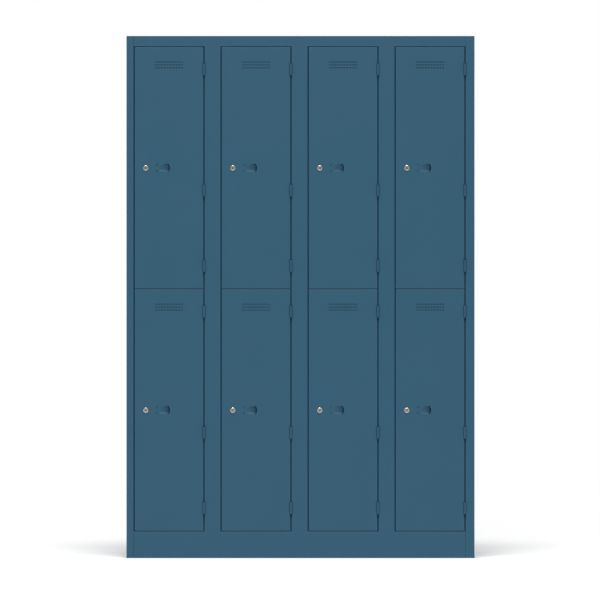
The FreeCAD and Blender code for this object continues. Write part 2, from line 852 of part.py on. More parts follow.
all_hinges = []
all_pins = []
for column, tier in door_places:
    label = f"{column}_{tier}"
    nodes.append(make_door(f"door_panel_{label}", column, tier))
    nodes.append(gather(f"door_hinge_leaves_{label}", door_leaf, hinge_places(column, tier)))
    nodes.append(make_lock_housing(f"lock_housing_{label}", column, tier))
    nodes.append(make_lock_plug(f"lock_plug_{label}", column, tier))
    nodes.append(make_lock_cam(f"lock_cam_{label}", column, tier))
    all_hinges += hinge_places(column, tier)
    all_pins += hinge_places(column, tier, drop="pin_overhang")

nodes.append(gather("hinge_frame_leaves", frame_leaf, all_hinges))
nodes.append(gather("hinge_pins", pin, all_pins))
nodes.append(gather("door_buffers", buffer, buffer_places()))
nodes.append(gather("coat_hooks", hook, hook_places()))

doc.recompute()

# Checks before anything is written ----------------------------------------------------

for item in doc.Objects:
    for state in item.State:
        if state in ("Invalid", "Error"):
            raise RuntimeError(f"{item.Label} did not recompute: {item.State}")
    if item.TypeId == "PartDesign::Pocket":
        if item.Shape.Volume > item.BaseFeature.Shape.Volume - 1e-6:
            raise RuntimeError(f"{item.Label} cuts nothing")

os.makedirs("parts", exist_ok=True)
for node in nodes:
    shape = node.Shape
    if shape.isNull() or not shape.isValid() or not shape.Solids:
        raise RuntimeError(f"{node.Label} has no sound shape")
for node in nodes:
    node.Shape.exportStep(f"parts/{node.Label}.step")
print(f"{len(nodes)} nodes, {sum(len(node.Shape.Solids) for node in nodes)} solids written")
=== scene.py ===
import bmesh
import bpy
import json
import math
from mathutils import Matrix, Vector


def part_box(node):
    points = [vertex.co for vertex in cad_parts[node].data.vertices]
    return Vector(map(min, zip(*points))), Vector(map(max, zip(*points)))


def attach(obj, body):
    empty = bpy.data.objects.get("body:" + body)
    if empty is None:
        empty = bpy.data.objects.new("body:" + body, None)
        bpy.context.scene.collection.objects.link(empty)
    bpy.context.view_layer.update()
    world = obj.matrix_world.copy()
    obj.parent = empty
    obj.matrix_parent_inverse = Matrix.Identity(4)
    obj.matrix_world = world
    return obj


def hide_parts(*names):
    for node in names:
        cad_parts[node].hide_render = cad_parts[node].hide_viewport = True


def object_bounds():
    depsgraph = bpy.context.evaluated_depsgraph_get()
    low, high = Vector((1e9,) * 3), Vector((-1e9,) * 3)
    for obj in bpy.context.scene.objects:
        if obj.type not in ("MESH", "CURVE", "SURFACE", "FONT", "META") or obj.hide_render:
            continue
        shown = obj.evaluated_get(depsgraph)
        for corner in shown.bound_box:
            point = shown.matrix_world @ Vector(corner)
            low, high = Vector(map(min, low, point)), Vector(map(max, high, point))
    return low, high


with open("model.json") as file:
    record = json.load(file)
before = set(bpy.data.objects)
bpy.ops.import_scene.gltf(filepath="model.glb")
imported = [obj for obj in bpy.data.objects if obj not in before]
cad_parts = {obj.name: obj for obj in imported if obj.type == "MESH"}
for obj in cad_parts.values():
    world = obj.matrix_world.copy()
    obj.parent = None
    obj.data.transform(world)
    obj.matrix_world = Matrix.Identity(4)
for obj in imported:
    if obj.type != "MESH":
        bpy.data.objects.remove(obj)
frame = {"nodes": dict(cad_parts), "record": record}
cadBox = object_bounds()
nodes = frame["nodes"]
labels = [name[len("door_panel_"):] for name in sorted(nodes) if name.startswith("door_panel_")]
mm = 0.001
print("frame loaded:", len(nodes), "nodes,", len(labels), "doors")


# camera, level and far back so that the front stays square

cameraPlan = {
    "lens": 300.0,
    "sensor": 36.0,
    "viewWidth": 2.0685,     # metres across the picture at the doors
    "aimX": -0.0017,
    "aimZ": 0.8898,
}
cameraData = bpy.data.cameras.new("camera")
cameraData.lens = cameraPlan["lens"]
cameraData.sensor_width = cameraPlan["sensor"]
cameraData.clip_end = 100.0
camera = bpy.data.objects.new("camera", cameraData)
bpy.context.scene.collection.objects.link(camera)
cameraDistance = cameraPlan["viewWidth"] * cameraPlan["lens"] / cameraPlan["sensor"]
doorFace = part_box("plinth_front")[0].y
camera.location = (cameraPlan["aimX"], doorFace - cameraDistance, cameraPlan["aimZ"])
camera.rotation_euler = (math.radians(90), 0, 0)
bpy.context.scene.camera = camera


# shader maths

class Wire:
    # a socket that takes part in sums
    def __init__(self, tree, socket):
        self.tree = tree
        self.socket = socket

    def combine(self, operation, first, second):
        node = self.tree.nodes.new("ShaderNodeMath")
        node.operation = operation
        plug(self.tree, node.inputs[0], first)
        plug(self.tree, node.inputs[1], second)
        return Wire(self.tree, node.outputs[0])

    def __add__(self, other):
        return self.combine("ADD", self, other)

    def __radd__(self, other):
        return self.combine("ADD", other, self)

    def __sub__(self, other):
        return self.combine("SUBTRACT", self, other)

    def __rsub__(self, other):
        return self.combine("SUBTRACT", other, self)

    def __mul__(self, other):
        return self.combine("MULTIPLY", self, other)

    def __rmul__(self, other):
        return self.combine("MULTIPLY", other, self)


def plug(tree, socket, value):
    if isinstance(value, Wire):
        tree.links.new(value.socket, socket)
    elif value is not None:
        socket.default_value = value


class Finish:
    # one material and the nodes that feed its shader
    def __init__(self, name):
        self.material = bpy.data.materials.new(name)
        self.material.use_nodes = True
        self.tree = self.material.node_tree
        self.shader = self.tree.nodes["Principled BSDF"]

    def node(self, kind, settings=None, values=None, output=0):
        made = self.tree.nodes.new(kind)
        for key, value in (settings or {}).items():
            if key == "stops":
                self.setStops(made.color_ramp, value)
            else:
                setattr(made, key, value)
        for key, value in (values or {}).items():
            plug(self.tree, made.inputs[key], value)
        return Wire(self.tree, made.outputs[output])

    def setStops(self, ramp, stops):
        for number, (position, level) in enumerate(stops):
            element = ramp.elements[number] if number < 2 else ramp.elements.new(position)
            element.position = position
            element.color = (level, level, level, 1)

    def place(self):
        return self.node("ShaderNodeTexCoord", output="Object")

    def stretched(self, scale):
        values = {"Vector": self.place(), "Scale": scale}
        return self.node("ShaderNodeMapping", {}, values, "Vector")

    def noise(self, scale, detail=2.0, roughness=0.5, vector=None):
        values = {"Vector": vector or self.place(), "Scale": scale, "Detail": detail,
                  "Roughness": roughness}
        return self.node("ShaderNodeTexNoise", {}, values, "Fac")

    def ramp(self, value, *stops):
        return self.node("ShaderNodeValToRGB", {"stops": stops}, {"Fac": value}, "Color")

    def mix(self, share, first, second):
        settings = {"data_type": "RGBA"}
        return self.node("ShaderNodeMix", settings, {0: share, 6: first, 7: second}, 2)

    def bump(self, height, strength, distance):
        values = {"Height": height, "Strength": strength, "Distance": distance}
        return self.node("ShaderNodeBump", {}, values, "Normal")

    def surface(self, **values):
        for key, value in values.items():
            plug(self.tree, self.shader.inputs[key.replace("_", " ")], value)
        return self.material


# finishes

coatPlan = {
    "deep": (0.0145, 0.0760, 0.1290, 1),
    "light": (0.0170, 0.0810, 0.1365, 1),
    "dust": (0.22, 0.24, 0.25, 1),
    "roughness": 0.47,
    "peelScale": 620.0,      # bumps 1 to 2 mm across
    "grainScale": 2400.0,
    "cloudScale": 4.5,
}


def makePowderCoat(name, deep, light):
    coat = Finish(name)
    cloud = coat.noise(coatPlan["cloudScale"], 4.0, 0.55)
    mottle = coat.noise(coatPlan["cloudScale"] * 14, 3.0)
    peel = coat.noise(coatPlan["peelScale"], 1.5, 0.4)
    grain = coat.noise(coatPlan["grainScale"], 2.0)
    facing = coat.node("ShaderNodeSeparateXYZ", {}, {
        0: coat.node("ShaderNodeNewGeometry", output="Normal")}, 2)
    upward = coat.ramp(facing, (0.6, 0.0), (0.98, 1.0))
    dust = upward * (0.05 + 0.14 * mottle)
    tone = coat.mix(0.6 * cloud + 0.4 * mottle, deep, light)
    height = 0.75 * peel + 0.25 * grain
    return coat.surface(
        Base_Color=coat.mix(dust, tone, coatPlan["dust"]),
        Roughness=coatPlan["roughness"] - 0.05 + 0.1 * cloud + 0.06 * (grain - 0.5) + 0.5 * dust,
        Normal=coat.bump(height, 0.26, 0.0005),
        IOR=1.4,
    )


def makePlatedSteel(name, tone, darker, roughness, cloudScale):
    plate = Finish(name)
    cloud = plate.noise(cloudScale, 3.0, 0.6)
    scratch = plate.noise(260.0, 3.0, 0.6, plate.stretched((1.0, 6.0, 14.0)))
    grain = plate.noise(5200.0, 1.0)
    return plate.surface(
        Base_Color=plate.mix(cloud, darker, tone),
        Metallic=1.0,
        Roughness=roughness + 0.12 * (scratch - 0.5) + 0.06 * (cloud - 0.5),
        Normal=plate.bump(0.6 * scratch + 0.4 * grain, 0.08, 0.0001),
    )


def makeRubber(name):
    rubber = Finish(name)
    cloud = rubber.noise(90.0, 3.0)
    grain = rubber.noise(1900.0, 2.0)
    return rubber.surface(
        Base_Color=rubber.mix(cloud, (0.012, 0.012, 0.013, 1), (0.028, 0.028, 0.029, 1)),
        Roughness=0.62 + 0.2 * (grain - 0.5),
        Normal=rubber.bump(grain, 0.2, 0.0002),
    )


powderCoat = makePowderCoat("powderCoat", coatPlan["deep"], coatPlan["light"])
satinNickel = makePlatedSteel("satinNickel", (0.66, 0.64, 0.61, 1), (0.54, 0.52, 0.49, 1),
                              0.24, 160.0)
zincSteel = makePlatedSteel("zincSteel", (0.62, 0.63, 0.64, 1), (0.44, 0.45, 0.46, 1), 0.36, 110.0)
plugSteel = makePlatedSteel("plugSteel", (0.40, 0.38, 0.36, 1), (0.27, 0.26, 0.24, 1), 0.3, 200.0)
blackRubber = makeRubber("blackRubber")
print("finishes made")


# mesh helpers

def newObject(name, bm, material):
    mesh = bpy.data.meshes.new(name)
    bm.to_mesh(mesh)
    bm.free()
    mesh.materials.append(material)
    made = bpy.data.objects.new(name, mesh)
    bpy.context.scene.collection.objects.link(made)
    return made


def addModifier(piece, kind, **settings):
    modifier = piece.modifiers.new(kind.lower(), kind)
    for key, value in settings.items():
        setattr(modifier, key, value)
    return modifier


def applied(piece):
    # turns a piece with its modifiers into one plain mesh
    bpy.context.view_layer.update()
    evaluated = piece.evaluated_get(bpy.context.evaluated_depsgraph_get())
    mesh = bpy.data.meshes.new_from_object(evaluated)
    piece.modifiers.clear()
    old = piece.data
    piece.data = mesh
    bpy.data.meshes.remove(old)
    mesh.name = piece.name
    return piece


def smooth(piece, degrees=32):
    piece.data.shade_smooth()
    piece.data.set_sharp_from_angle(angle=math.radians(degrees))
    return piece


def discard(*pieces):
    for piece in pieces:
        bpy.data.objects.remove(piece)


def copyTo(source, name, place):
    mesh = source.data.copy()
    mesh.name = name
    mesh.transform(Matrix.Translation(place))
    made = bpy.data.objects.new(name, mesh)
    bpy.context.scene.collection.objects.link(made)
    return made


def finishPiece(piece, body, slotName, *replaced):
    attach(piece, body)
    if replaced:
        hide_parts(*replaced)
    return piece


def lathe(bm, profile, steps, axis="Y"):
    # profile holds (radius, height) pairs; a radius of 0 closes the end with a point
    rings = []
    for radius, height in profile:
        ring = []
        for step in range(steps if radius > 0 else 1):
            angle = 2 * math.pi * step / steps
            flat = (radius * math.cos(angle), radius * math.sin(angle))
            spot = (flat[0], height, flat[1]) if axis == "Y" else (flat[0], flat[1], height)
            ring.append(bm.verts.new(spot))
        rings.append(ring)
    for lower, upper in zip(rings, rings[1:]):
        for step in range(steps):
            after = (step + 1) % steps
            corners = [lower[step % len(lower)], lower[after % len(lower)],
                       upper[after % len(upper)], upper[step % len(upper)]]
            bm.faces.new(list(dict.fromkeys(corners)))
    bmesh.ops.recalc_face_normals(bm, faces=bm.faces)
    return rings


def closedLathe(bm, profile, steps):
    # a ring whose profile is a closed loop round the bore
    rings = lathe(bm, profile, steps)
    last, first = rings[-1], rings[0]
    for step in range(steps):
        after = (step + 1) % steps
        bm.faces.new([last[step], last[after], first[after], first[step]])
    bmesh.ops.recalc_face_normals(bm, faces=bm.faces)


def block(bm, low, high):
    made = bmesh.ops.create_cube(bm, size=1.0)["verts"]
    low, high = Vector(low), Vector(high)
    size = high - low
    middle = (high + low) / 2
    for vert in made:
        vert.co = Vector(vert.co[i] * size[i] + middle[i] for i in range(3))
    return made


# copies set out on points, by Geometry Nodes

def socketOf(tree, name):
    return [item for item in tree.interface.items_tree if item.name == name][0].identifier


def makeCopyTree():
    tree = bpy.data.node_groups.new("copiesOnPoints", "GeometryNodeTree")
    tree.interface.new_socket("Geometry", in_out="INPUT", socket_type="NodeSocketGeometry")
    tree.interface.new_socket("Source", in_out="INPUT", socket_type="NodeSocketObject")
    tree.interface.new_socket("Finish", in_out="INPUT", socket_type="NodeSocketMaterial")
    tree.interface.new_socket("Size", in_out="INPUT", socket_type="NodeSocketFloat")
    tree.interface.new_socket("Geometry", in_out="OUTPUT", socket_type="NodeSocketGeometry")
    start = tree.nodes.new("NodeGroupInput")
    end = tree.nodes.new("NodeGroupOutput")
    source = tree.nodes.new("GeometryNodeObjectInfo")
    copies = tree.nodes.new("GeometryNodeInstanceOnPoints")
    real = tree.nodes.new("GeometryNodeRealizeInstances")
    paint = tree.nodes.new("GeometryNodeSetMaterial")
    links = tree.links
    links.new(start.outputs["Source"], source.inputs["Object"])
    links.new(start.outputs["Geometry"], copies.inputs["Points"])
    links.new(source.outputs["Geometry"], copies.inputs["Instance"])
    links.new(start.outputs["Size"], copies.inputs["Scale"])
    links.new(copies.outputs["Instances"], real.inputs["Geometry"])
    links.new(real.outputs["Geometry"], paint.inputs["Geometry"])
    links.new(start.outputs["Finish"], paint.inputs["Material"])
    links.new(paint.outputs["Geometry"], end.inputs["Geometry"])
    return tree


copyTree = makeCopyTree()


def copiesOnPoints(name, source, spots, material, size=1.0):
    bm = bmesh.new()
    for spot in spots:
        bm.verts.new(spot)
    piece = newObject(name, bm, material)
    modifier = piece.modifiers.new("copies", "NODES")
    modifier.node_group = copyTree
    modifier[socketOf(copyTree, "Source")] = source
    modifier[socketOf(copyTree, "Finish")] = material
    modifier[socketOf(copyTree, "Size")] = size
    applied(piece)
    return smooth(piece)


# door: a pan with rolled edges, vents and a pressed finger pull

doorPlan = {
    "sheet": 1.0 * mm,
    "bend": 2.0 * mm,
    "lipBend": 1.6 * mm,
    "lip": 12.0 * mm,
    "bendSteps": 5,
    "ventColumns": 10,
    "ventRows": 3,
    "ventPitch": 10.0 * mm,
    "ventRadius": 2.2 * mm,
    "ventDrop": 51.2 * mm,
    "ventMargin": 6.0 * mm,
    "ventSteps": 16,
    "pullStart": 81.0 * mm,
    "pullEnd": 122.5 * mm,
    "pullHalfStart": 9.0 * mm,
    "pullHalfEnd": 14.8 * mm,
    "pullBulge": 6.0 * mm,
    "pullDepth": 10.0 * mm,
    "pullSlot": 2.0 * mm,
    "pullSteps": 18,
    "pullWall": 4,           # how square the scoop's sides are
    "lockHole": 8.1 * mm,
    "reliefRadius": 2.1 * mm,
    "reliefX": 77.6 * mm,
    "reliefZ": 10.5 * mm,
    "axisBeyond": 1.25 * mm,
    "knuckleLength": 40.0 * mm,
    "roomBelow": 0.4 * mm,
    "roomAbove": 1.4 * mm,
    "hingeSpacing": 100.0 * mm,     # leaves are further apart than this
    "largeFace": 0.001,             # square metres, a face that spans the door
    "notchReach": 5.4 * mm,
    "notchDepth": 3.4 * mm,
    "slotReach": 2.75 * mm,
    "slotLength": 12.5 * mm,
}
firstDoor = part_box("door_panel_" + labels[0])
doorSize = firstDoor[1] - firstDoor[0]
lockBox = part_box("lock_housing_" + labels[0])
lockSpot = (lockBox[0] + lockBox[1]) / 2 - firstDoor[0]
lockSpot.y = 0.0


def frontLoop(inset, corner, depth, steps):
    # a rounded rectangle seen from the front, anticlockwise
    spots = []
    right, top = doorSize.x - inset, doorSize.z - inset
    centres = [(right - corner, inset + corner), (right - corner, top - corner),
               (inset + corner, top - corner), (inset + corner, inset + corner)]
    for quarter, (x, z) in enumerate(centres):
        for step in range(steps + 1):
            angle = math.pi / 2 * (quarter - 1 + step / steps)
            spots.append((x + corner * math.cos(angle), depth, z + corner * math.sin(angle)))
    return spots


def circleLoop(x, z, radius, steps):
    angles = [2 * math.pi * step / steps for step in range(steps)]
    return [(x + radius * math.cos(angle), 0.0, z + radius * math.sin(angle)) for angle in angles]


def addLoop(bm, spots):
    verts = [bm.verts.new(spot) for spot in spots]
    edges = [bm.edges.new(pair) for pair in zip(verts, verts[1:] + verts[:1])]
    return verts, edges


def makeVentTree():
    # a flat strip with a grid of round holes, filled between its outline and the circles
    tree = bpy.data.node_groups.new("ventStrip", "GeometryNodeTree")
    tree.interface.new_socket("Geometry", in_out="INPUT", socket_type="NodeSocketGeometry")
    sizes = {"Width": "Float", "Height": "Float", "Spread": "Float", "Rise": "Float",
             "Columns": "Int", "Rows": "Int", "Hole Radius": "Float", "Hole Steps": "Int"}
    for name, kind in sizes.items():
        tree.interface.new_socket(name, in_out="INPUT", socket_type="NodeSocket" + kind)
    tree.interface.new_socket("Finish", in_out="INPUT", socket_type="NodeSocketMaterial")
    tree.interface.new_socket("Geometry", in_out="OUTPUT", socket_type="NodeSocketGeometry")
    start = tree.nodes.new("NodeGroupInput")
    end = tree.nodes.new("NodeGroupOutput")
    outline = tree.nodes.new("GeometryNodeCurvePrimitiveQuadrilateral")
    hole = tree.nodes.new("GeometryNodeCurvePrimitiveCircle")
    grid = tree.nodes.new("GeometryNodeMeshGrid")
    copies = tree.nodes.new("GeometryNodeInstanceOnPoints")
    real = tree.nodes.new("GeometryNodeRealizeInstances")
    together = tree.nodes.new("GeometryNodeJoinGeometry")
    fill = tree.nodes.new("GeometryNodeFillCurve")
    paint = tree.nodes.new("GeometryNodeSetMaterial")
    links = tree.links
    links.new(start.outputs["Width"], outline.inputs["Width"])
    links.new(start.outputs["Height"], outline.inputs["Height"])
    links.new(start.outputs["Hole Radius"], hole.inputs["Radius"])
    links.new(start.outputs["Hole Steps"], hole.inputs["Resolution"])
    links.new(start.outputs["Spread"], grid.inputs["Size X"])
    links.new(start.outputs["Rise"], grid.inputs["Size Y"])
    links.new(start.outputs["Columns"], grid.inputs["Vertices X"])
    links.new(start.outputs["Rows"], grid.inputs["Vertices Y"])
    links.new(grid.outputs["Mesh"], copies.inputs["Points"])
    links.new(hole.outputs["Curve"], copies.inputs["Instance"])
    links.new(copies.outputs["Instances"], real.inputs["Geometry"])
    links.new(real.outputs["Geometry"], together.inputs["Geometry"])
    links.new(outline.outputs["Curve"], together.inputs["Geometry"])
    links.new(together.outputs["Geometry"], fill.inputs["Curve"])
    links.new(fill.outputs["Mesh"], paint.inputs["Geometry"])
    links.new(start.outputs["Finish"], paint.inputs["Material"])
    links.new(paint.outputs["Geometry"], end.inputs["Geometry"])
    return tree


def makeVentStrip(width, height):
    tree = makeVentTree()
    piece = newObject("ventStrip", bmesh.new(), powderCoat)
    modifier = piece.modifiers.new("vents", "NODES")
    modifier.node_group = tree
    pitch = doorPlan["ventPitch"]
    values = {"Width": width, "Height": height, "Columns": doorPlan["ventColumns"],
              "Rows": doorPlan["ventRows"], "Spread": (doorPlan["ventColumns"] - 1) * pitch,
              "Rise": (doorPlan["ventRows"] - 1) * pitch, "Hole Radius": doorPlan["ventRadius"],
              "Hole Steps": doorPlan["ventSteps"], "Finish": powderCoat}
    for name, value in values.items():
        modifier[socketOf(tree, name)] = value
    return applied(piece)


def pullPoint(along, across):
    # a place on the pressed tongue: along 0 to 1 from its fold, across -1 to 1
    p = doorPlan
    radius = (p["pullHalfEnd"] ** 2 + p["pullBulge"] ** 2) / (2 * p["pullBulge"])
    centreX = p["pullEnd"] - radius - p["pullSlot"]
    endX = centreX + math.sqrt(radius ** 2 - (across * p["pullHalfEnd"]) ** 2)
    x = p["pullStart"] + along * (endX - p["pullStart"])
    cornerX = p["pullEnd"] - p["pullBulge"]
    share = (x - p["pullStart"]) / (cornerX - p["pullStart"])
    half = p["pullHalfStart"] + (p["pullHalfEnd"] - p["pullHalfStart"]) * min(share, 1.0)
    ease = (math.sqrt(along ** 2 + 0.02) - math.sqrt(0.02)) / (math.sqrt(1.02) - math.sqrt(0.02))
    wall = 1 - abs(across) ** p["pullWall"]
    return (x, p["pullDepth"] * ease * wall, lockSpot.z + across * half)


def makeDoorShell():
    p = doorPlan
    bm = bmesh.new()
    rows = []
    for step in range(p["bendSteps"] + 1):
        angle = math.pi / 2 * step / p["bendSteps"]
        inset = p["bend"] * (1 - math.sin(angle))
        corner = max(p["bend"] * math.sin(angle), 0.1 * mm)
        rows.append((inset, corner, p["bend"] * (1 - math.cos(angle))))
    for step in range(p["bendSteps"] + 1):
        angle = math.pi / 2 * step / p["bendSteps"]
        inset = p["lipBend"] * (1 - math.cos(angle))
        depth = doorSize.y - p["lipBend"] * (1 - math.sin(angle))
        rows.append((inset, p["bend"] - inset, depth))
    rows.append((p["lip"], 3 * mm, doorSize.y))
    loops = []
    for inset, corner, depth in rows:
        loops.append([bm.verts.new(spot) for spot in frontLoop(inset, corner, depth, 4)])
    count = len(loops[0])
    for outer, inner in zip(loops, loops[1:]):
        for number in range(count):
            after = (number + 1) % count
            bm.faces.new([outer[number], outer[after], inner[after], inner[number]])
    first = loops[0]
    edges = [bm.edges.get(pair) for pair in zip(first, first[1:] + first[:1])]

    # the front sheet is filled between its outline and the edges of its openings
    margin = p["ventMargin"]
    ventWidth = (p["ventColumns"] - 1) * p["ventPitch"] + 2 * margin
    ventHeight = (p["ventRows"] - 1) * p["ventPitch"] + 2 * margin
    ventX = doorSize.x / 2
    ventZ = doorSize.z - p["ventDrop"] - (p["ventRows"] - 1) * p["ventPitch"] / 2
    corners = [(ventX + sx * ventWidth / 2, 0.0, ventZ + sz * ventHeight / 2)
               for sx, sz in ((-1, -1), (1, -1), (1, 1), (-1, 1))]
    edges += addLoop(bm, corners)[1]
    edges += addLoop(bm, circleLoop(lockSpot.x, lockSpot.z, p["lockHole"], 32))[1]
    for side in (-1, 1):
        relief = circleLoop(p["reliefX"], lockSpot.z + side * p["reliefZ"], p["reliefRadius"], 16)
        edges += addLoop(bm, relief)[1]
    steps = p["pullSteps"]
    lower = [pullPoint(step / steps, -1) for step in range(steps + 1)]
    upper = [pullPoint(step / steps, 1) for step in range(steps, -1, -1)]
    fold = [pullPoint(0, 1 - 2 * step / steps) for step in range(1, steps)]
    radius = (p["pullHalfEnd"] ** 2 + p["pullBulge"] ** 2) / (2 * p["pullBulge"])
    halfTurn = math.asin(p["pullHalfEnd"] / radius)
    curve = []
    for step in range(steps + 1):
        angle = halfTurn * (2 * step / steps - 1)
        curve.append((p["pullEnd"] - radius + radius * math.cos(angle), 0.0,
                      lockSpot.z + radius * math.sin(angle)))
    edges += addLoop(bm, lower + curve + upper + fold)[1]
    bmesh.ops.triangle_fill(bm, edges=edges, use_beauty=True, normal=(0, -1, 0))

    # the tongue
    grid = []
    for row in range(steps + 1):
        spots = [pullPoint(row / steps, 2 * col / steps - 1) for col in range(steps + 1)]
        grid.append([bm.verts.new(spot) for spot in spots])
    for row in range(steps):
        for col in range(steps):
            bm.faces.new([grid[row][col], grid[row + 1][col],
                          grid[row + 1][col + 1], grid[row][col + 1]])

    # the vent strip, turned upright
    strip = makeVentStrip(ventWidth, ventHeight)
    upright = Matrix.Translation((ventX, 0, ventZ)) @ Matrix.Rotation(math.radians(90), 4, "X")
    strip.data.transform(upright)
    bm.from_mesh(strip.data)
    discard(strip)
    bmesh.ops.remove_doubles(bm, verts=bm.verts, dist=2e-6)
    bmesh.ops.recalc_face_normals(bm, faces=bm.faces)
    frontFace = max(bm.faces, key=lambda face: face.calc_area())
    if frontFace.normal.y > 0:
        bmesh.ops.reverse_faces(bm, faces=bm.faces)
    return newObject("doorShell", bm, powderCoat)


def notchRanges():
    # where the hinge leaves start, above the door's lower edge
    leaves = nodes["door_hinge_leaves_" + labels[0]]
    heights = sorted({round(vert.co.z, 4) for vert in leaves.data.vertices})
    p = doorPlan
    starts = [after for before, after in zip([-1.0] + heights, heights)
              if after - before > p["hingeSpacing"]]
    edge = doorSize.x + p["axisBeyond"]
    ranges = []
    for start in starts:
        bottom = start - firstDoor[0].z
        notchLow = bottom - p["roomBelow"]
        notchHigh = bottom + p["knuckleLength"] + p["roomAbove"]
        ranges.append((edge - p["notchReach"], notchLow, notchHigh))
        ranges.append((edge - p["slotReach"], bottom - p["slotLength"], notchLow))
    return ranges


def cutNotches(piece):
    # the skin is split along each notch, then the part inside it goes
    bm = bmesh.new()
    bm.from_mesh(piece.data)
    depth = doorPlan["notchDepth"]
    for left, low, high in notchRanges():
        for point, normal in (((left, 0, 0), (1, 0, 0)), ((0, 0, low), (0, 0, 1)),
                              ((0, 0, high), (0, 0, 1)), ((0, depth, 0), (0, 1, 0))):
            near = [face for face in bm.faces if face.calc_area() > doorPlan["largeFace"]
                    or all(vert.co.x > doorSize.x / 2 for vert in face.verts)]
            parts = near + list({edge for face in near for edge in face.edges})
            parts += list({vert for face in near for vert in face.verts})
            bmesh.ops.bisect_plane(bm, geom=parts, dist=1e-6, plane_co=point, plane_no=normal)
        inside = []
        for face in bm.faces:
            spot = face.calc_center_median()
            if spot.x > left and low < spot.z < high and spot.y < depth:
                inside.append(face)
        bmesh.ops.delete(bm, geom=inside, context="FACES")
    bm.to_mesh(piece.data)
    bm.free()


door = makeDoorShell()
cutNotches(door)
addModifier(door, "SOLIDIFY", thickness=doorPlan["sheet"], offset=-1.0, use_even_offset=True)
applied(door)
smooth(door, 40)
addModifier(door, "WEIGHTED_NORMAL", keep_sharp=True, weight=100)
applied(door)
for label in labels:
    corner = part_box("door_panel_" + label)[0]
    panel = copyTo(door, "doorPanel_" + label, corner)
    finishPiece(panel, "door_" + label, "powder_coat", "door_panel_" + label)
print("doors made:", len(door.data.polygons), "faces each")
discard(door)


# lock noses, nuts and cam screws

lockPlan = {
    "bore": 5.55 * mm,
    "rim": 9.3 * mm,
    "barrel": 8.0 * mm,
    "thread": 0.38 * mm,
    "threadPitch": 1.0 * mm,
    "nutFlats": 22.0 * mm,
    "nutThickness": 5.0 * mm,
    "nutSteps": 36,
    "washer": 7.0 * mm,
    "washerThickness": 0.9 * mm,
    "steps": 48,
}
lockDepth = lockBox[1].y - doorFace
lockProud = lockBox[0].y - doorFace


def makeLockNose():
    p = lockPlan
    front = lockProud
    profile = [(p["bore"], front + 0.6 * mm), (p["bore"] + 0.35 * mm, front + 0.2 * mm),
               (7.0 * mm, front), (8.0 * mm, front + 0.15 * mm), (8.8 * mm, front + 0.7 * mm),
               (9.2 * mm, front + 1.5 * mm), (p["rim"], front + 2.2 * mm), (p["rim"], 0.0),
               (p["barrel"], 0.0)]
    turns = int((lockDepth - 1.5 * mm) / p["threadPitch"])
    for turn in range(1, turns):
        level = turn * p["threadPitch"]
        profile.append((p["barrel"], level))
        profile.append((p["barrel"] - p["thread"], level + p["threadPitch"] / 2))
    profile += [(p["barrel"] - p["thread"], lockDepth), (p["bore"], lockDepth)]
    bm = bmesh.new()
    closedLathe(bm, profile, p["steps"])
    return smooth(newObject("lockNose", bm, satinNickel))


def makeNut():
    p = lockPlan
    outer = p["nutFlats"] / 2 / math.cos(math.radians(30))
    thick = p["nutThickness"]
    start = doorPlan["sheet"]
    bm = bmesh.new()
    rings = []
    profile = [(p["barrel"] - 0.3 * mm, start), (outer, start), (outer, start + thick - 0.8 * mm),
               (p["nutFlats"] / 2 - 0.3 * mm, start + thick),
               (p["barrel"] + 0.4 * mm, start + thick),
               (p["barrel"] - 0.3 * mm, start + thick - 0.7 * mm)]
    steps = p["nutSteps"]
    half = math.radians(30)
    for number, (radius, level) in enumerate(profile):
        ring = []
        for step in range(steps):
            angle = 2 * math.pi * step / steps
            flat = math.cos(half) / math.cos(angle % (2 * half) - half)
            reach = radius * flat if number in (1, 2) else radius
            ring.append(bm.verts.new((reach * math.cos(angle), level, reach * math.sin(angle))))
        rings.append(ring)
    for lower, upper in zip(rings, rings[1:] + rings[:1]):
        for step in range(steps):
            after = (step + 1) % steps
            bm.faces.new([lower[step], lower[after], upper[after], upper[step]])
    bmesh.ops.recalc_face_normals(bm, faces=bm.faces)
    return smooth(newObject("nut", bm, zincSteel), 25)


def makeScrewHead(name, radius, height, recess, axis):
    # a domed head with a cross recess, its seat at the origin
    bm = bmesh.new()
    shares = (0.0, 0.12, 0.24, 0.36, 0.46, 0.55, 0.7, 0.85, 0.95, 1.0)
    profile = [(radius * share, height * (0.45 + 0.55 * math.sqrt(1 - share ** 2)))
               for share in shares]
    profile += [(radius, 0.0), (0.0, 0.0)]
    lathe(bm, profile, 32, axis)
    up, side = (1, 2) if axis == "Y" else (2, 1)
    for vert in bm.verts:
        flat = (vert.co.x, vert.co[side])
        inCross = min(abs(flat[0]), abs(flat[1])) < radius * 0.13
        if vert.co[up] > 0 and inCross and math.hypot(*flat) < radius * 0.5:
            vert.co[up] -= recess
    return newObject(name, bm, zincSteel)


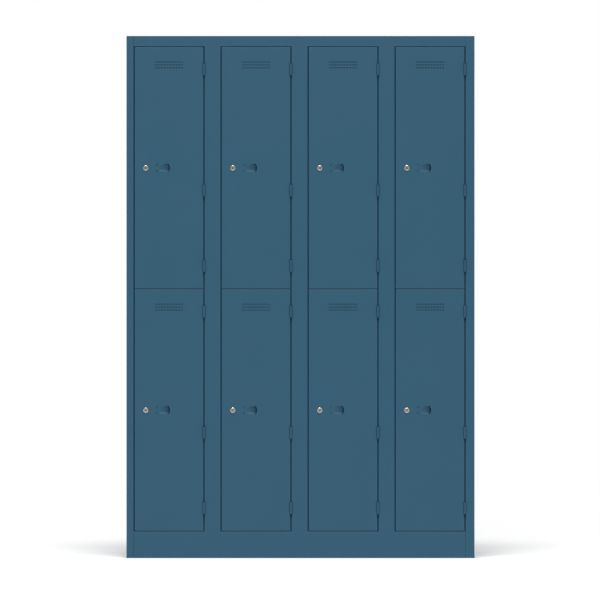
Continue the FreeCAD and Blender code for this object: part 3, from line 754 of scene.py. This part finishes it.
nose = makeLockNose()
nut = makeNut()
camScrew = makeScrewHead("camScrewHead", 4.6 * mm, 2.6 * mm, 0.9 * mm, "Y")
washerMesh = bmesh.new()
outer, thick = lockPlan["washer"], lockPlan["washerThickness"]
washerProfile = [(0.0, 0.0), (outer - 0.4 * mm, 0.0), (outer, thick / 3),
                 (outer - 0.4 * mm, thick), (0.0, thick)]
lathe(washerMesh, washerProfile, lockPlan["steps"])
washer = smooth(newObject("washer", washerMesh, zincSteel))
for label in labels:
    low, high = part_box("lock_housing_" + label)
    axis = Vector(((low.x + high.x) / 2, doorFace, (low.z + high.z) / 2))
    finishPiece(copyTo(nose, "lockNose_" + label, axis), "door_" + label, "lock_nickel",
                "lock_housing_" + label)
    finishPiece(copyTo(nut, "lockNut_" + label, axis), "door_" + label, "lock_cam_steel")
    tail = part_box("lock_plug_" + label)[1].y
    seat = Vector((axis.x, tail, axis.z))
    finishPiece(copyTo(washer, "camWasher_" + label, seat), "lock_" + label, "lock_cam_steel")
    above = seat + Vector((0, lockPlan["washerThickness"], 0))
    screw = copiesOnPoints("camScrew_" + label, camScrew, [above], zincSteel)
    finishPiece(screw, "lock_" + label, "lock_cam_steel")
discard(nose, nut, camScrew, washer)
print("locks made")


# screws that hold the coat hooks

hookPlan = {
    "screwSpread": 21.0 * mm,
    "plateThickness": 2.0 * mm,
    "headRadius": 3.8 * mm,
    "headHeight": 2.0 * mm,
    "recess": 0.7 * mm,
    "boxBelowShelf": 14.0 * mm,     # from the room in a hook up to its plate
}
hookScrew = makeScrewHead("hookScrewHead", hookPlan["headRadius"], hookPlan["headHeight"],
                          hookPlan["recess"], "Z")
hookScrew.data.transform(Matrix.Rotation(math.radians(180), 4, "X"))
spots = []
openings = {item["name"]: item["box_m"] for item in frame["record"]["physics"]["openings"]}
for label in labels:
    left, right = (openings["hook_" + label + "_" + side] for side in ("left", "right"))
    middle = (left[0][0] + right[1][0]) / 2
    level = left[1][2] + hookPlan["boxBelowShelf"] - hookPlan["plateThickness"]
    for side in (-1, 1):
        spots.append((middle + side * hookPlan["screwSpread"], 0.0, level))
screws = copiesOnPoints("hookScrews", hookScrew, spots, zincSteel)
finishPiece(screws, "root", "hook_steel")
discard(hookScrew)
print("hook screws made:", len(spots))


# the welds that close the frame's front, ground flush before painting

weldPlan = {
    "sink": 0.02 * mm,       # behind the front, so that only the seams fill
    "thickness": 0.6 * mm,
    "reach": 3.0 * mm,
    "inset": 2.0 * mm,       # the folds beside a door stay round
}
weldMesh = bmesh.new()
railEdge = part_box("mullion_1")[1].z
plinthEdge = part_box("mullion_1")[0].z
low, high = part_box("side_panel_left")
strips = [(low.x + weldPlan["inset"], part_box("plinth_front")[0].x)]
for number in (1, 2, 3):
    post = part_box("mullion_" + str(number))
    strips.append((post[0].x, post[1].x))
strips.append((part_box("plinth_front")[1].x, -low.x - weldPlan["inset"]))
for number, (left, right) in enumerate(strips):
    left += weldPlan["inset"] if number else 0
    right -= weldPlan["inset"] if number < len(strips) - 1 else 0
    for edge in (railEdge, plinthEdge):
        block(weldMesh, (left, doorFace + weldPlan["sink"], edge - weldPlan["reach"]),
              (right, doorFace + weldPlan["thickness"], edge + weldPlan["reach"]))
bmesh.ops.recalc_face_normals(weldMesh, faces=weldMesh.faces)
welds = newObject("frameWelds", weldMesh, powderCoat)
finishPiece(welds, "root", "powder_coat")


# the rest of the frame keeps its shape

for name, node in nodes.items():
    node.data.materials.clear()
    paint = powderCoat
    if name.startswith("lock_plug"):
        paint = plugSteel
    elif name.startswith(("lock_cam", "coat_hooks")):
        paint = zincSteel
    elif name.startswith("door_buffers"):
        paint = blackRubber
    node.data.materials.append(paint)


# floor and light

stagePlan = {
    "floorRadius": 7.0,
    "floor": (0.93, 0.93, 0.93, 1),
    "floorSpeck": (0.91, 0.91, 0.91, 1),
    "backdrop": (1.0, 1.0, 1.0, 1),
    "ambient": 0.40,
    "keyPower": 80.0,
    "keyPlace": (-0.4, -4.2, 4.2),
    "keyTarget": (0, 0, 1.0),
    "sunPower": 2.5,
    "sunPlace": (0, -2, 6),
    "sunSpread": 25,         # degrees, for soft shadows
}
bm = bmesh.new()
bmesh.ops.create_circle(bm, cap_ends=True, segments=96, radius=stagePlan["floorRadius"])
floorPaint = Finish("paleFloor")
speck = floorPaint.noise(60.0, 3.0)
floorPaint.surface(
    Base_Color=floorPaint.mix(speck, stagePlan["floorSpeck"], stagePlan["floor"]),
    Roughness=0.6 + 0.1 * speck,
)
floor = newObject("floor", bm, floorPaint.material)
floor.location.z = cadBox[0].z

world = bpy.data.worlds.new("studio")
bpy.context.scene.world = world
world.use_nodes = True
worldTree = world.node_tree
ambient = worldTree.nodes["Background"]
ambient.inputs["Color"].default_value = stagePlan["backdrop"]
ambient.inputs["Strength"].default_value = stagePlan["ambient"]
seen = worldTree.nodes.new("ShaderNodeBackground")
seen.inputs["Color"].default_value = stagePlan["backdrop"]
seen.inputs["Strength"].default_value = 1.0
lightPath = worldTree.nodes.new("ShaderNodeLightPath")
choice = worldTree.nodes.new("ShaderNodeMixShader")
worldTree.links.new(lightPath.outputs["Is Camera Ray"], choice.inputs[0])
worldTree.links.new(ambient.outputs[0], choice.inputs[1])
worldTree.links.new(seen.outputs[0], choice.inputs[2])
worldTree.links.new(choice.outputs[0], worldTree.nodes["World Output"].inputs["Surface"])


def addLight(name, kind, place, target, power, **settings):
    data = bpy.data.lights.new(name, kind)
    data.energy = power
    for key, value in settings.items():
        setattr(data, key, value)
    light = bpy.data.objects.new(name, data)
    light.location = place
    light.rotation_euler = (Vector(target) - Vector(place)).to_track_quat("-Z", "Y").to_euler()
    bpy.context.scene.collection.objects.link(light)
    return light


addLight("keySoftbox", "AREA", stagePlan["keyPlace"], stagePlan["keyTarget"], stagePlan["keyPower"],
         shape="RECTANGLE", size=3.4, size_y=1.8)
addLight("overhead", "SUN", stagePlan["sunPlace"], (0, 0, 0), stagePlan["sunPower"],
         angle=math.radians(stagePlan["sunSpread"]))
bpy.context.scene.view_settings.view_transform = "Standard"
print("stage set")
